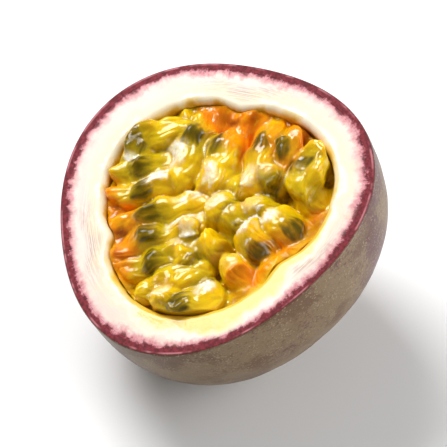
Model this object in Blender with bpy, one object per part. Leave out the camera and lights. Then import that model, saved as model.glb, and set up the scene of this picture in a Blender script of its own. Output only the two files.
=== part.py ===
"""Half a purple passion fruit, cut across and resting tilted on a small flat spot.

Units are metres, +Z is up and the flat spot's centre is the origin. The three solids are
modelled in the frame of the cut (cut face at z = 0, fruit below it) and carried by one
empty that tilts the cut face towards -Y.

    skin   the purple outer peel, a thin cup with the dry flower scar at its end
    pith   the white cup inside it
    pulp   the juice sacs with their seeds, growing from one soft mass that fills the pith
"""

import math
from collections import namedtuple

import bmesh
import bpy
import numpy as np
from mathutils import Matrix, Vector

MM = 0.001

# Fruit
RIM_RADIUS = 29.0 * MM  # mean radius of the cut rim, outside the skin
HALF_LENGTH = 35.5 * MM  # from the cut face to the flower end
END_BLUNTNESS = 2.6  # exponent of the long section: 2 is an ellipse, more is blunter
LOBE = 0.055  # the three lobes of the cross-section, as a share of the radius
LOBE_ANGLE = math.radians(65)  # where the first lobe stands out
TILT = math.radians(20.5)  # lean of the cut face towards -Y
FLAT_SPOT_RADIUS = 7.0 * MM  # about half the width of the flattened patch it rests on

# Layers
SKIN_THICKNESS = 1.5 * MM
RIND_THICKNESS = 7.9 * MM  # skin and pith together, mean
RIND_SWELL = 0.7 * MM  # the rind is this much thicker on one side
RIND_SWELL_ANGLE = math.radians(205)
LAYER_GAP = 0.3 * MM  # clearance between two solids that touch in the fruit
LIP_RADIUS = 1.4 * MM  # rounding of the pith's edge into the cavity
FIRST_PLACENTA = math.radians(250)  # three placentae, on the flatter sides between the lobes
RIDGE_HEIGHT = 1.5 * MM  # the pith stands out by this much at a placenta
RIDGE_SPREAD = math.radians(9)  # about half the width of that ridge

# Flower end
SCAR_DIMPLE_RADIUS = 3.6 * MM
SCAR_DIMPLE_DEPTH = 0.35 * MM
SCAR_NUB_RADIUS = 1.3 * MM
SCAR_NUB_HEIGHT = 0.8 * MM

# Pulp
PULP_TOP = 4.6 * MM  # depth of the soft mass below the cut face
BANK_TOP = 0.8 * MM  # its depth at the pith by a placenta, where it rises
PULP_GAP = 0.55 * MM  # clearance of the soft mass to the pith
SAC_LIMIT_TOP = 4.0 * MM  # the sacs stay below this height above the cut face
SAC_FLATNESS = 0.88  # thickness of a sac as a share of its width
SAC_PLUMPNESS = 0.72  # exponent of an egg's girth along it: lower is fuller at its ends
SAC_FULL_END = 0.9  # exponent of the steps along an egg: below 1 it is fuller at its far end
SEED_LENGTH = 5.6 * MM
SEED_WIDTH = 4.0 * MM
SEED_THICKNESS = 2.3 * MM
SEED_SINK = 0.83  # share of a seed's thickness that lies below the top of its sac
SEED_BACK = 0.3  # share of its length that lies on the root's side of its place
LAID_SEED_PLACE = 0.42  # its place along a sac that lies flat, as a share of the sac
UPRIGHT_SEED_PLACE = 0.82  # and along one that stands upright

# Most that the seeded draw moves a sac from its even place
DRAW_SEED = 7
PLACE_JITTER = 0.35  # as a share of the distance between neighbours
DEPTH_JITTER = 0.8 * MM
LEAN_JITTER = 1.2 * MM
WIDTH_JITTER = 0.16  # as a share of the width
TWIST_JITTER = 0.5  # radians
BOW_JITTER = 1.1 * MM  # bowing to one side

# A row of sacs stands in an arc round its placenta: how many, how far out as a share of the
# cavity, how far to each side, the depth of the roots, how far the tips lean away from the
# placenta, the depth of the tips, and the width of a sac.
Row = namedtuple("Row", "count share spread root_depth lean tip_depth width")
LAID_FAN = (
    Row(8, 0.99, math.radians(59), 2.5 * MM, 15.0 * MM, 2.4 * MM, 6.5 * MM),
)
LEANING_FAN = (
    Row(7, 0.97, math.radians(58), 3.2 * MM, 12.8 * MM, 2.4 * MM, 7.0 * MM),
)
STEEP_FAN = (
    Row(7, 0.95, math.radians(63), 6.0 * MM, 6.0 * MM, 2.8 * MM, 7.0 * MM),
    Row(5, 0.62, math.radians(66), 9.0 * MM, 5.0 * MM, 2.6 * MM, 7.0 * MM),
    Row(3, 0.30, math.radians(80), 10.0 * MM, 3.0 * MM, 2.6 * MM, 6.8 * MM),
)
FANS = (LAID_FAN, STEEP_FAN, LEANING_FAN)
Sac = namedtuple("Sac", "root tip width twist bow")

# Mesh density
COLUMNS = 48
WALL_ROWS = 13
WALL_CROWDING = 1.15  # above 1 the rows of a wall are closer together at the cut
SAC_SIDES = 10
SAC_ROWS = 7
SEED_SIDES = 8
SEED_ROWS = 5

# Search for the lowest point
SEARCH_ROWS = 90
SEARCH_RISE = 0.02  # the end's curve is measured at this share of the length above that point


# ---------------------------------------------------------------- shape of the fruit

def lobes(angle):
    """Share by which the cross-section stands out at this angle."""
    return 1 + LOBE * math.cos(3 * (angle - LOBE_ANGLE))


def placenta_angle(number):
    return FIRST_PLACENTA + number * 2 * math.pi / 3


def rind(angle):
    """Thickness of skin and pith together at this angle."""
    thickness = RIND_THICKNESS + RIND_SWELL * math.cos(angle - RIND_SWELL_ANGLE)
    off_placenta = math.asin(math.sin(1.5 * (angle - FIRST_PLACENTA))) / 1.5
    return thickness + RIDGE_HEIGHT * math.exp(-((off_placenta / RIDGE_SPREAD) ** 2))


def wall_point(angle, turn, inset):
    """A point of the fruit's surface, moved in by inset. turn is 0 at the cut and 90 degrees at the end."""
    radius = (RIM_RADIUS - inset) * math.cos(turn)
    fade = math.cos(turn)
    radius *= 1 + (lobes(angle) - 1) * fade
    depth = (HALF_LENGTH - inset) * math.sin(turn) ** (2 / END_BLUNTNESS)
    return Vector((radius * math.cos(angle), radius * math.sin(angle), -depth))


def turn_at(height, inset):
    """The turn at which the fruit's surface, moved in by inset, is at this height."""
    share = min(max(-height, 0.0) / (HALF_LENGTH - inset), 1.0)
    return math.asin(share ** (END_BLUNTNESS / 2))


def cavity_radius(angle, height, gap=0.0):
    """Distance from the fruit's axis to the pith's inner wall at this height."""
    inset = rind(angle) + gap
    return wall_point(angle, turn_at(height, inset), inset).xy.length


# ---------------------------------------------------------------- mesh helpers

def column_angles():
    return [2 * math.pi * i / COLUMNS for i in range(COLUMNS)]


def wall_turns(rows=WALL_ROWS):
    """Steps from the cut to just before the end, closer together at the cut."""
    return [math.pi / 2 * (i / rows) ** WALL_CROWDING for i in range(rows)]


def ring_mesh(name, rings, first_pole=None, last_pole=None):
    """One closed mesh through rings of points. A pole closes an end; with none the ends meet."""
    form = bmesh.new()
    loops = [[form.verts.new(point) for point in ring] for ring in rings]
    pairs = list(zip(loops, loops[1:]))
    if first_pole is None and last_pole is None:
        pairs.append((loops[-1], loops[0]))
    for upper, lower in pairs:
        for i, vertex in enumerate(upper):
            after = (i + 1) % len(upper)
            form.faces.new((vertex, lower[i], lower[after], upper[after]))
    for pole, loop in ((first_pole, loops[0]), (last_pole, loops[-1])):
        if pole is None:
            continue
        tip = form.verts.new(pole)
        for i, vertex in enumerate(loop):
            form.faces.new((vertex, loop[(i + 1) % len(loop)], tip))
    bmesh.ops.recalc_face_normals(form, faces=form.faces)
    mesh = bpy.data.meshes.new(name)
    form.to_mesh(mesh)
    form.free()
    return mesh


def add_object(name, mesh, parent=None):
    made = bpy.data.objects.new(name, mesh)
    bpy.context.scene.collection.objects.link(made)
    made.parent = parent
    return made


def apply_modifiers(target):
    """Bakes the modifiers of an object into its mesh."""
    graph = bpy.context.evaluated_depsgraph_get()
    baked = bpy.data.meshes.new_from_object(target.evaluated_get(graph))
    target.modifiers.clear()
    target.data = baked


def keep_outer_surface(mesh):
    """Drops every loose island but the largest, which fills sealed hollows and clears scraps."""
    form = bmesh.new()
    form.from_mesh(mesh)
    waiting = set(form.verts)
    islands = []
    while waiting:
        island = {waiting.pop()}
        edge_of_island = list(island)
        while edge_of_island:
            vertex = edge_of_island.pop()
            near = {edge.other_vert(vertex) for edge in vertex.link_edges} & waiting
            waiting -= near
            island |= near
            edge_of_island.extend(near)
        islands.append(island)
    islands.sort(key=len)
    for island in islands[:-1]:
        bmesh.ops.delete(form, geom=list(island), context="VERTS")
    form.to_mesh(mesh)
    form.free()


# ---------------------------------------------------------------- skin and pith

def scar_relief(distance):
    """Height of the dry flower scar above the skin, at this distance from the fruit's axis."""
    dimple = -SCAR_DIMPLE_DEPTH * math.exp(-((distance / SCAR_DIMPLE_RADIUS) ** 4))
    nub = (SCAR_NUB_HEIGHT + SCAR_DIMPLE_DEPTH) * math.exp(-((distance / SCAR_NUB_RADIUS) ** 4))
    return dimple + nub


def skin_mesh():
    """The thin purple cup: out and down its outside, then back up its inside."""
    rings = []
    for turn in wall_turns():
        rings.append([wall_point(a, turn, 0) for a in column_angles()])
    for share in (0.75, 0.45):  # of the dimple's radius: two more rings round the scar
        distance = share * SCAR_DIMPLE_RADIUS
        turn = math.acos(distance / RIM_RADIUS)
        lift = Vector((0, 0, scar_relief(distance)))
        rings.append([wall_point(a, turn, 0) - lift for a in column_angles()])
    outer_end = wall_point(0, math.pi / 2, 0) - Vector((0, 0, scar_relief(0)))
    inner = [[wall_point(a, t, SKIN_THICKNESS) for a in column_angles()] for t in wall_turns()]
    inner_end = wall_point(0, math.pi / 2, SKIN_THICKNESS)
    rings = list(reversed(rings)) + inner
    return ring_mesh("skin", rings, first_pole=outer_end, last_pole=inner_end)


def pith_mesh():
    """The white cup. Its cut face turns over a rounded lip into the cavity."""
    outer_inset = SKIN_THICKNESS + LAYER_GAP
    outer = [[wall_point(a, t, outer_inset) for a in column_angles()] for t in wall_turns()]
    outer_end = wall_point(0, math.pi / 2, outer_inset)
    face = []
    for bend in (0, 30, 60):  # degrees round the lip
        ring = []
        for angle in column_angles():
            reach = cavity_radius(angle, 0) + LIP_RADIUS * (1 - math.sin(math.radians(bend)))
            drop = LIP_RADIUS * (1 - math.cos(math.radians(bend)))
            ring.append(Vector((reach * math.cos(angle), reach * math.sin(angle), -drop)))
        face.append(ring)
    inner = []
    for turn in wall_turns()[2:]:
        inner.append([wall_point(a, turn, rind(a)) for a in column_angles()])
    inner_end = Vector((0, 0, -(HALF_LENGTH - RIND_THICKNESS)))
    rings = list(reversed(outer)) + face + inner
    return ring_mesh("pith", rings, first_pole=outer_end, last_pole=inner_end)


# ---------------------------------------------------------------- pulp

def row_layout(row, placenta, draw):
    """The sacs of one row, which grow from round one placenta and lean away from it."""
    ahead = Vector((math.cos(placenta), math.sin(placenta), 0))
    sacs = []
    for i in range(row.count):
        shift, lift, size, further, twist, bow = draw.uniform(-1, 1, 6)
        offset = row.spread * ((2 * i + 1 + PLACE_JITTER * shift) / row.count - 1)
        angle = placenta + offset
        depth = row.root_depth + DEPTH_JITTER * lift
        out = row.share * cavity_radius(angle, -depth, LAYER_GAP)
        root = Vector((out * math.cos(angle), out * math.sin(angle), -depth))
        lean = (row.lean + LEAN_JITTER * further) * math.cos(offset)
        tip = root - ahead * lean
        tip.z = -row.tip_depth + DEPTH_JITTER * lift
        width = row.width * (1 + WIDTH_JITTER * size)
        sacs.append(Sac(root, tip, width, TWIST_JITTER * twist, BOW_JITTER * bow))
    return sacs


def sac_layout():
    """Every juice sac, fan by fan."""
    draw = np.random.RandomState(DRAW_SEED)
    sacs = []
    for number, fan in enumerate(FANS):
        for row in fan:
            sacs += row_layout(row, placenta_angle(number), draw)
    return sacs


def sac_frame(sac):
    """Rotation that lays z along the sac and y as near up as it goes, twisted a little."""
    along = (sac.tip - sac.root).normalized()
    side = along.cross(Vector((0, 0, 1))).normalized()
    up = side.cross(along)
    turned = Matrix((side, up, along)).transposed()
    return turned @ Matrix.Rotation(sac.twist, 3, "Z")


def egg_mesh(name, length, width, thickness, sides, rows, bow=0.0):
    """A closed egg along z from 0 to length, fuller towards the far end, bowed along x."""
    rings = []
    for row in range(1, rows):
        turn = math.pi * row / rows
        girth = math.sin(turn) ** SAC_PLUMPNESS
        height = length * (0.5 - 0.5 * math.cos(turn)) ** SAC_FULL_END
        ring = []
        for i in range(sides):
            angle = 2 * math.pi * i / sides
            ring.append(Vector((
                0.5 * width * girth * math.cos(angle) + bow * math.sin(turn),
                0.5 * thickness * girth * math.sin(angle),
                height,
            )))
        rings.append(ring)
    return ring_mesh(name, rings, Vector((0, 0, 0)), Vector((0, 0, length)))


def sac_object(name, sac, parent):
    """One juice sac, longer than root to tip by its rounded ends."""
    length = (sac.tip - sac.root).length + 0.5 * sac.width
    thickness = SAC_FLATNESS * sac.width
    mesh = egg_mesh(name, length, sac.width, thickness, SAC_SIDES, SAC_ROWS, sac.bow)
    mesh.transform(Matrix.Translation(sac.root) @ sac_frame(sac).to_4x4())
    return add_object(name, mesh, parent)


def seed_object(name, sac, parent):
    """The seed in a sac: a flat egg whose upper face stands out of the sac's top."""
    turned = sac_frame(sac)
    steepness = turned[2][2]
    share = LAID_SEED_PLACE + (UPRIGHT_SEED_PLACE - LAID_SEED_PLACE) * steepness
    along = share * (sac.tip - sac.root).length - SEED_BACK * SEED_LENGTH
    height = 0.5 * SAC_FLATNESS * sac.width + (0.5 - SEED_SINK) * SEED_THICKNESS
    place = sac.root + turned @ Vector((sac.bow, height, along))
    mesh = egg_mesh(name, SEED_LENGTH, SEED_WIDTH, SEED_THICKNESS, SEED_SIDES, SEED_ROWS)
    mesh.transform(Matrix.Translation(place) @ turned.to_4x4())
    return add_object(name, mesh, parent)


def soft_mass_edge(angle):
    """Depth of the soft mass where it meets the pith: it rises to a bank at each placenta."""
    bank = 0.5 + 0.5 * math.cos(3 * (angle - FIRST_PLACENTA))
    return PULP_TOP - (PULP_TOP - BANK_TOP) * bank


def soft_mass_ring(share):
    """A ring of the mass's wall, from its edge at share 0 down to the end at 1."""
    ring = []
    for angle in column_angles():
        inset = rind(angle) + PULP_GAP
        start = turn_at(-soft_mass_edge(angle), inset)
        ring.append(wall_point(angle, start + (math.pi / 2 - start) * share, inset))
    return ring


def soft_mass_mesh():
    """The mass that the sacs grow from: it fills the pith, and its top rises to the edge."""
    wall = [soft_mass_ring(row / WALL_ROWS) for row in range(WALL_ROWS)]
    top = []
    for out in (0.35, 0.6, 0.8):  # as a share of the way from the axis to the pith
        rise = max(0, 2 * out - 1) ** 2
        top.append([
            Vector((point.x * out, point.y * out, point.z * rise - PULP_TOP * (1 - rise)))
            for point in wall[0]
        ])
    top_pole = Vector((0, 0, -PULP_TOP))
    end_pole = Vector((0, 0, -(HALF_LENGTH - RIND_THICKNESS - PULP_GAP)))
    return ring_mesh("pulp", top + wall, first_pole=top_pole, last_pole=end_pole)


def cavity_limit_mesh():
    """Everything inside the pith, and straight up from its edge: the room that the sacs have."""
    inset = {a: rind(a) + LAYER_GAP for a in column_angles()}
    wall = [[wall_point(a, t, inset[a]) for a in column_angles()] for t in wall_turns()]
    top = [point + Vector((0, 0, SAC_LIMIT_TOP)) for point in wall[0]]
    end_pole = Vector((0, 0, -(HALF_LENGTH - RIND_THICKNESS - LAYER_GAP)))
    return ring_mesh("limit", [top] + wall, Vector((0, 0, SAC_LIMIT_TOP)), end_pole)


def pulp_object(parent):
    """The soft mass, sacs and seeds joined in one solid and trimmed to the cavity."""
    pulp = add_object("pulp", soft_mass_mesh(), parent)
    repeats = bpy.data.collections.new("repeats")
    for number, sac in enumerate(sac_layout()):
        repeats.objects.link(sac_object(f"sac_{number}", sac, parent))
        repeats.objects.link(seed_object(f"seed_{number}", sac, parent))
    bpy.context.scene.collection.children.link(repeats)
    limit = add_object("limit", cavity_limit_mesh(), parent)
    bpy.context.view_layer.update()
    join = pulp.modifiers.new("join", "BOOLEAN")
    join.operation = "UNION"
    join.operand_type = "COLLECTION"
    join.collection = repeats
    trim = pulp.modifiers.new("trim", "BOOLEAN")
    trim.operation = "INTERSECT"
    trim.object = limit
    apply_modifiers(pulp)
    keep_outer_surface(pulp.data)
    for helper in [*repeats.objects, limit]:
        bpy.data.objects.remove(helper)
    bpy.data.collections.remove(repeats)
    return pulp


# ---------------------------------------------------------------- rest pose

def lowest_point():
    """The lowest point of the tilted fruit, and the height at which its flat spot is cut."""
    turned = Matrix.Rotation(TILT, 3, "X")
    points = [
        turned @ wall_point(a, t, 0)
        for a in column_angles()
        for t in wall_turns(SEARCH_ROWS)
    ]
    lowest = min(points, key=lambda point: point.z)
    rise = SEARCH_RISE * HALF_LENGTH
    reach = min((p.xy - lowest.xy).length for p in points if p.z > lowest.z + rise)
    return lowest, lowest.z + rise * (FLAT_SPOT_RADIUS / reach) ** 2


def flatten_underside(mesh, carried):
    """Cuts the small flat spot, at height zero of the carried mesh."""
    back = carried.inverted()
    form = bmesh.new()
    form.from_mesh(mesh)
    cut = bmesh.ops.bisect_plane(
        form,
        geom=form.verts[:] + form.edges[:] + form.faces[:],
        dist=0.01 * MM,
        plane_co=back @ Vector((0, 0, 0)),
        plane_no=back.to_3x3() @ Vector((0, 0, 1)),
        clear_inner=True,
    )
    rim = [part for part in cut["geom_cut"] if isinstance(part, bmesh.types.BMEdge)]
    bmesh.ops.holes_fill(form, edges=rim, sides=0)
    bmesh.ops.recalc_face_normals(form, faces=form.faces)
    form.to_mesh(mesh)
    form.free()


# ---------------------------------------------------------------- materials

def material(name, colour, roughness, subsurface=0.0):
    made = bpy.data.materials.new(name)
    made.use_nodes = True
    shader = made.node_tree.nodes["Principled BSDF"]
    shader.inputs["Base Color"].default_value = (*colour, 1)
    shader.inputs["Roughness"].default_value = roughness
    shader.inputs["Metallic"].default_value = 0
    shader.inputs["Subsurface Weight"].default_value = subsurface
    return made


def finish(target, finish_material):
    target.data.materials.clear()
    target.data.materials.append(finish_material)
    target.data.shade_smooth()
    target.data.set_sharp_from_angle(angle=math.radians(40))


def main():
    for old in list(bpy.data.objects):
        bpy.data.objects.remove(old)

    lowest, spot_height = lowest_point()
    cut_frame = add_object("cut_frame", None)
    cut_frame.rotation_euler = (TILT, 0, 0)
    cut_frame.location = (-lowest.x, -lowest.y, -spot_height)
    bpy.context.view_layer.update()

    skin = add_object("skin", skin_mesh(), cut_frame)
    flatten_underside(skin.data, cut_frame.matrix_world)
    pith = add_object("pith", pith_mesh(), cut_frame)
    pulp = pulp_object(cut_frame)

    finish(skin, material("skin", (0.115, 0.040, 0.045), 0.45))
    finish(pith, material("pith", (0.86, 0.76, 0.66), 0.6, 0.2))
    finish(pulp, material("pulp", (0.72, 0.42, 0.03), 0.15, 0.3))


main()
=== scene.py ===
import math
from collections import namedtuple

import bmesh
import bpy
import numpy as np
from mathutils import Matrix, Vector, noise


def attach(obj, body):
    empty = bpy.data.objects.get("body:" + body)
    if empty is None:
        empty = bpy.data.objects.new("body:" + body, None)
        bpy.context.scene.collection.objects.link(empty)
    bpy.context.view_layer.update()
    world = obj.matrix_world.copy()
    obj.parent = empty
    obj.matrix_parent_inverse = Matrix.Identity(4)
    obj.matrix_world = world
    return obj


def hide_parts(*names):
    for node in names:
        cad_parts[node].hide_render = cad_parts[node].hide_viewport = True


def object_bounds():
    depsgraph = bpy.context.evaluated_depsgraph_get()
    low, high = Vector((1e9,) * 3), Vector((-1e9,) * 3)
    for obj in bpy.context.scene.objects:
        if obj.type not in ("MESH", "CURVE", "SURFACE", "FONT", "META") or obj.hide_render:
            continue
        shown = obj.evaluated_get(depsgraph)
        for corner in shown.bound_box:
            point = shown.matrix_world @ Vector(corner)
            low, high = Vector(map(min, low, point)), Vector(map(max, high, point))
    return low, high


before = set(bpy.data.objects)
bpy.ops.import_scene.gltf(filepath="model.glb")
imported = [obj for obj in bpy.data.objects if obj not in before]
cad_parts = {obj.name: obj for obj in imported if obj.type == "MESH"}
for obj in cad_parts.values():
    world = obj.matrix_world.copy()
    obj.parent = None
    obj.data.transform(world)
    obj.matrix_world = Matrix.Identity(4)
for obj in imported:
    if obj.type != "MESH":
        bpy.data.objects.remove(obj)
CAD_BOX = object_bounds()

# Half a purple passion fruit on a pale floor. Three finer pieces stand for the solids of the
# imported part: the skin, the white pith, and the pulp with its juice sacs. Everything is worked
# out in the frame of the cut (cut face at z = 0, fruit below it) and then tilted as the part is.

MM = 0.001
PIECE_BODY = "root"

# Fruit, as in the part's own source
RIM_RADIUS = 29.0 * MM
HALF_LENGTH = 35.5 * MM
END_BLUNTNESS = 2.6
CARPELS = 3  # the fruit's chambers, each with a lobe, between as many placentae
LOBE = 0.055
LOBE_ANGLE = math.radians(65)
TILT = math.radians(20.5)
FLAT_SPOT_RADIUS = 7.0 * MM
SKIN_THICKNESS = 1.5 * MM
RIND_THICKNESS = 7.9 * MM
RIND_SWELL = 0.7 * MM
RIND_SWELL_ANGLE = math.radians(205)
LAYER_GAP = 0.3 * MM
LIP_RADIUS = 1.4 * MM
FIRST_PLACENTA = math.radians(250)
RIDGE_HEIGHT = 1.5 * MM
RIDGE_SPREAD = math.radians(9)
SCAR_DIMPLE_RADIUS = 3.6 * MM
SCAR_DIMPLE_DEPTH = 0.35 * MM
SCAR_NUB_RADIUS = 1.3 * MM
SCAR_NUB_HEIGHT = 0.8 * MM

# Pulp, as in the part's own source
PULP_TOP = 4.6 * MM
BANK_TOP = 0.8 * MM
SAC_FLATNESS = 0.88
SAC_PLUMPNESS = 0.72
SAC_FULL_END = 0.9
SAC_PAST_TIP = 0.5  # share of its width by which a sac reaches past its tip
SEED_LENGTH = 5.6 * MM
SEED_WIDTH = 4.0 * MM
SEED_THICKNESS = 2.3 * MM
SEED_SINK = 0.83
SEED_BACK = 0.3
LAID_SEED_PLACE = 0.42
UPRIGHT_SEED_PLACE = 0.82
DRAW_SEED = 7
PLACE_JITTER = 0.35
DEPTH_JITTER = 0.8 * MM
LEAN_JITTER = 1.2 * MM
WIDTH_JITTER = 0.16
TWIST_JITTER = 0.5
BOW_JITTER = 1.1 * MM
Row = namedtuple("Row", "count share spread root_depth lean tip_depth width")
LAID_FAN = (
    Row(8, 0.99, math.radians(59), 2.5 * MM, 15.0 * MM, 2.4 * MM, 6.5 * MM),
)
LEANING_FAN = (
    Row(7, 0.97, math.radians(58), 3.2 * MM, 12.8 * MM, 2.4 * MM, 7.0 * MM),
)
STEEP_FAN = (
    Row(7, 0.95, math.radians(63), 6.0 * MM, 6.0 * MM, 2.8 * MM, 7.0 * MM),
    Row(5, 0.62, math.radians(66), 9.0 * MM, 5.0 * MM, 2.6 * MM, 7.0 * MM),
    Row(3, 0.30, math.radians(80), 10.0 * MM, 3.0 * MM, 2.6 * MM, 6.8 * MM),
)
FANS = (LAID_FAN, STEEP_FAN, LEANING_FAN)
Sac = namedtuple("Sac", "root tip width twist bow")

# Search for the fruit's lowest point, as in the part's own source
SEARCH_COLUMNS = 48
SEARCH_ROWS = 90
SEARCH_RISE = 0.02
WALL_CROWDING = 1.15

# Mesh density
COLUMNS = 320
PROFILE_POINTS = 4000  # of the dense profile by which rows of points are spread evenly
HIDDEN_START = 0.5 * MM  # depth at which the rows between skin and pith start, where nobody looks
PULP_VOXEL = 0.24 * MM
HIDDEN_DEPTH = 11.0 * MM  # nothing of the pulp is seen below this, so its mesh is coarse there
HIDDEN_SHARE = 0.12  # share of the triangles kept there

TINY = 1e-9  # keeps a division by a length from failing


# ---------------- shape of the fruit

def lobes(angle):
    return 1 + LOBE * np.cos(CARPELS * (angle - LOBE_ANGLE))


def placenta_angle(number):
    return FIRST_PLACENTA + number * 2 * math.pi / CARPELS


def off_placenta(angle):
    """Angle from the nearest placenta, with its sign."""
    return np.arcsin(np.sin(CARPELS / 2 * (angle - FIRST_PLACENTA))) / (CARPELS / 2)


def rind(angle):
    """Thickness of skin and pith together at this angle."""
    thickness = RIND_THICKNESS + RIND_SWELL * np.cos(angle - RIND_SWELL_ANGLE)
    return thickness + RIDGE_HEIGHT * np.exp(-((off_placenta(angle) / RIDGE_SPREAD) ** 2))


def wall_points(angle, turn, inset):
    """Points of the fruit's surface, moved in by inset.

    The turn is 0 at the cut and 90 degrees at the flower end.
    """
    fade = np.cos(turn)
    radius = (RIM_RADIUS - inset) * fade * (1 + (lobes(angle) - 1) * fade)
    depth = (HALF_LENGTH - inset) * np.sin(turn) ** (2 / END_BLUNTNESS) + 0 * angle
    return np.stack([radius * np.cos(angle), radius * np.sin(angle), -depth], axis=-1)


def round_axis(points):
    """Angle of each point round the fruit's axis, and its distance from the axis."""
    x, y = points[..., 0], points[..., 1]
    return np.arctan2(y, x), np.hypot(x, y)


def turn_at(height, inset):
    """The turn at which the fruit's surface, moved in by inset, is at this height."""
    share = np.clip(-height / (HALF_LENGTH - inset), 0, 1) ** (END_BLUNTNESS / 2)
    return np.arcsin(share)


def cavity_radius(angle, height, gap=0.0):
    """Distance from the fruit's axis to the pith's inner wall at this height."""
    inset = rind(angle) + gap
    return round_axis(wall_points(angle, turn_at(height, inset), inset))[1]


def even_turns(rows, first_depth):
    """Turns from first_depth below the cut to just before the end, evenly apart on the surface."""
    dense = np.linspace(0, math.pi / 2, PROFILE_POINTS)
    profile = wall_points(np.zeros_like(dense), dense, 0.0)
    steps = np.linalg.norm(np.diff(profile, axis=0), axis=1)
    length = np.concatenate([[0], np.cumsum(steps)])
    start = np.interp(first_depth, -profile[:, 2], length)
    wanted = np.linspace(start, length[-1], rows, endpoint=False)
    return np.interp(wanted, length, dense)


def scar_relief(distance):
    """Height of the dried flower scar above the skin, at this distance from the fruit's axis."""
    dimple = -SCAR_DIMPLE_DEPTH * np.exp(-((distance / SCAR_DIMPLE_RADIUS) ** 4))
    nub = (SCAR_NUB_HEIGHT + SCAR_DIMPLE_DEPTH) * np.exp(-((distance / SCAR_NUB_RADIUS) ** 4))
    return dimple + nub


def rest_place():
    """The matrix that carries the frame of the cut to where the part rests."""
    turned = np.array(Matrix.Rotation(TILT, 3, "X"))
    angles = np.arange(SEARCH_COLUMNS) * 2 * math.pi / SEARCH_COLUMNS
    turns = math.pi / 2 * (np.arange(SEARCH_ROWS) / SEARCH_ROWS) ** WALL_CROWDING
    grid = wall_points(angles[:, None], turns[None, :], 0.0).reshape(-1, 3) @ turned.T
    lowest = grid[grid[:, 2].argmin()]
    rise = SEARCH_RISE * HALF_LENGTH
    away = grid[grid[:, 2] > lowest[2] + rise]
    reach = round_axis(away - lowest)[1].min()
    spot_height = lowest[2] + rise * (FLAT_SPOT_RADIUS / reach) ** 2
    place = Matrix.Translation((-lowest[0], -lowest[1], -spot_height))
    return place @ Matrix.Rotation(TILT, 4, "X")


REST_PLACE = rest_place()


def noise_field(points, size, octaves=3):
    """Smooth noise between about -1 and 1 at each point, in lumps of this size."""
    places = [point / size for point in map(Vector, points)]
    return np.array([noise.fractal(place, 1.0, 2.0, octaves) for place in places])


def noise_vectors(points, size):
    """Smooth noise at each point, its three parts taken from places far apart."""
    shifts = (Vector((0, 0, 0)), Vector((31, 7, 19)), Vector((5, 43, 11)))
    places = [point / size for point in map(Vector, points)]
    return np.array([[noise.noise(place + shift) for shift in shifts] for place in places])


def smoothstep(low, high, value):
    """0 up to low, 1 from high on, and a soft rise between. It falls where low is above high."""
    share = np.clip((value - low) / (high - low), 0, 1)
    return share * share * (3 - 2 * share)


# ---------------- mesh helpers

def ring_faces(rings, columns):
    """Faces of a closed skin through rings of points, with a pole before them and one after."""
    index = np.arange(rings * columns).reshape(rings, columns)
    after = np.roll(index, -1, axis=1)
    quads = np.stack([index[:-1], index[1:], after[1:], after[:-1]], axis=-1).reshape(-1, 4)
    first_pole = rings * columns
    first = [(first_pole, a, b) for a, b in zip(index[0], after[0])]
    last = [(first_pole + 1, b, a) for a, b in zip(index[-1], after[-1])]
    return quads.tolist() + first + last


def closed_rings(rings, first_pole, last_pole):
    """A closed form through rings of points, given as its points and faces."""
    points = np.concatenate([rings.reshape(-1, 3), [first_pole, last_pole]])
    return points, ring_faces(*rings.shape[:2])


def add_object(name, data):
    """A new object in the scene, for a mesh, a lamp or a camera."""
    made = bpy.data.objects.new(name, data)
    bpy.context.scene.collection.objects.link(made)
    return made


def tilted_points(points):
    """Points in the frame of the cut, carried to where the part rests, none under the floor."""
    matrix = np.array(REST_PLACE)
    carried = points @ matrix[:3, :3].T + matrix[:3, 3]
    carried[:, 2] = np.maximum(carried[:, 2], 0)
    return carried


def store(mesh, name, values, kind="FLOAT"):
    """Keeps a value per vertex, for the material to read."""
    attribute = mesh.attributes.new(name, kind, "POINT")
    key = {"FLOAT": "value", "FLOAT_VECTOR": "vector", "FLOAT_COLOR": "color"}[kind]
    attribute.data.foreach_set(key, np.asarray(values, dtype=np.float32).ravel())


def ring_piece(name, rings, attributes):
    """A piece through rings of points in the frame of the cut, an array (rings, columns, 3)."""
    points, faces = closed_rings(rings, rings[0].mean(axis=0), rings[-1].mean(axis=0))
    mesh = bpy.data.meshes.new(name)
    mesh.from_pydata(tilted_points(points).tolist(), [], faces)
    for key, values in attributes.items():
        flat = values.reshape(-1)
        store(mesh, key, np.concatenate([flat, [flat[0], flat[-1]]]))
    angle = round_axis(points)[0]
    around = np.stack([np.cos(angle), np.sin(angle), 0 * angle], axis=-1)
    store(mesh, "around", around, "FLOAT_VECTOR")
    mesh.shade_smooth()
    mesh.update()
    return add_object(name, mesh)


# ---------------- skin and pith

COLUMN_ANGLES = np.arange(COLUMNS) * 2 * math.pi / COLUMNS
SKIN_ROWS = 190
SKIN_EDGE_ROWS = 7
SKIN_FACE_ROWS = 9
SKIN_INNER_ROWS = 14
SKIN_EDGE = 0.3 * MM  # rounding of the skin's cut edge
SKIN_SWELL = 0.14 * MM  # slow unevenness of the skin
SKIN_SWELL_SIZE = 9.0 * MM
SKIN_DENTS = 0.035 * MM  # quick unevenness of the skin
SKIN_DENTS_SIZE = 2.2 * MM
SKIN_CALM = 3.0 * MM  # both fade in over this depth below the cut
OUTWARD_HEIGHT = 0.8  # share of the height in the skin's outward direction, as the half is long
TAN_ANGLE = math.radians(-15)  # the side where the skin is olive-tan, not purple


def quarter_round(radius, rows):
    """Inset and drop along a rounded edge, from its outside to its top."""
    bend = np.linspace(0, math.pi / 2, rows)
    return radius * (1 - np.cos(bend)), radius * (1 - np.sin(bend))


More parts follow.
